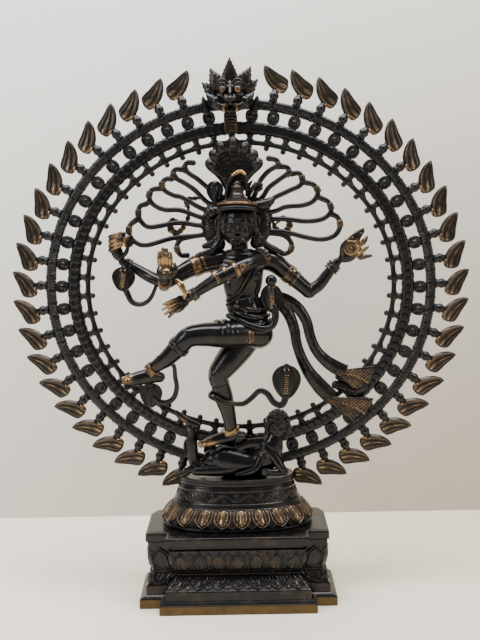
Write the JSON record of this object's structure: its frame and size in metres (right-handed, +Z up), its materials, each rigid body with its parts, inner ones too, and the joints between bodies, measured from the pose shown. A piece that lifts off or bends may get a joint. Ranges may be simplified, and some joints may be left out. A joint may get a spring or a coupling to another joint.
{
  "type": "nataraja statue",
  "caption": "Free-standing cast-brass figure dancing within an oval ring of flames, on a stepped lotus pedestal with a flat base.",
  "frame": {"origin": "on the floor under the middle of the pedestal", "axes": "+Z up, -Y towards the front, +X to the viewer's right"},
  "size_m": [0.65, 0.176, 0.7621],
  "materials": {
    "dark_bronze_patina": "near-black patina over cast brass, softly glossy",
    "worn_gilt": "golden-brown brass rubbed bright on its high places, dark in its hollows",
    "polished_brass": "bright ground brass edge",
    "zinc_steel": "zinc-plated steel"
  },
  "bodies": {
    "root": {"ankle_cobra": "dark_bronze_patina", "anklets": "worn_gilt", "arm_cobra": "dark_bronze_patina", "armlets": "worn_gilt", "base_plinth": "polished_brass", "bead_finials": "dark_bronze_patina", "blessing_forearm": "dark_bronze_patina", "bracelets": "worn_gilt", "calf_cobra": "dark_bronze_patina", "chest_band": "worn_gilt", "cobra_crest": "dark_bronze_patina", "crossing_arm": "dark_bronze_patina", "crown": "dark_bronze_patina", "crown_loop": "dark_bronze_patina", "drum_forearm": "dark_bronze_patina", "dwarf_arms": "dark_bronze_patina", "dwarf_body": "dark_bronze_patina", "dwarf_head": "dark_bronze_patina", "dwarf_legs": "dark_bronze_patina", "earrings": "worn_gilt", "flame_forearm": "dark_bronze_patina", "flame_leaves": "worn_gilt", "flame_stems": "dark_bronze_patina", "gilded_ribbon": "worn_gilt", "hair_locks_left": "dark_bronze_patina", "hair_locks_right": "dark_bronze_patina", "hair_ornaments": "dark_bronze_patina", "hair_ribbons": "dark_bronze_patina", "hand_drum": "worn_gilt", "head": "dark_bronze_patina", "hip_belt": "worn_gilt", "inner_hoop": "dark_bronze_patina", "inner_posts": "dark_bronze_patina", "knee_bands": "dark_bronze_patina", "left_upper_arm": "dark_bronze_patina", "lotus_cushion": "worn_gilt", "mask_crown": "dark_bronze_patina", "mask_face": "dark_bronze_patina", "mask_lugs": "dark_bronze_patina", "mask_tongue_panel": "dark_bronze_patina", "middle_hoop": "dark_bronze_patina", "necklace": "dark_bronze_patina", "outer_hoop": "dark_bronze_patina", "palm_flame": "worn_gilt", "pedestal_bolts": "zinc_steel", "pedestal_casting": "dark_bronze_patina", "pedestal_cornice": "dark_bronze_patina", "pedestal_deck": "dark_bronze_patina", "pedestal_washers": "zinc_steel", "raised_leg": "dark_bronze_patina", "right_upper_arm": "dark_bronze_patina", "ring_foot": "dark_bronze_patina", "roundel_spacers": "dark_bronze_patina", "sash_lower": "worn_gilt", "sash_upper": "worn_gilt", "scroll_band": "dark_bronze_patina", "standing_leg": "dark_bronze_patina", "torso": "dark_bronze_patina", "waist_cobra": "dark_bronze_patina"}
  },
  "joints": []
}
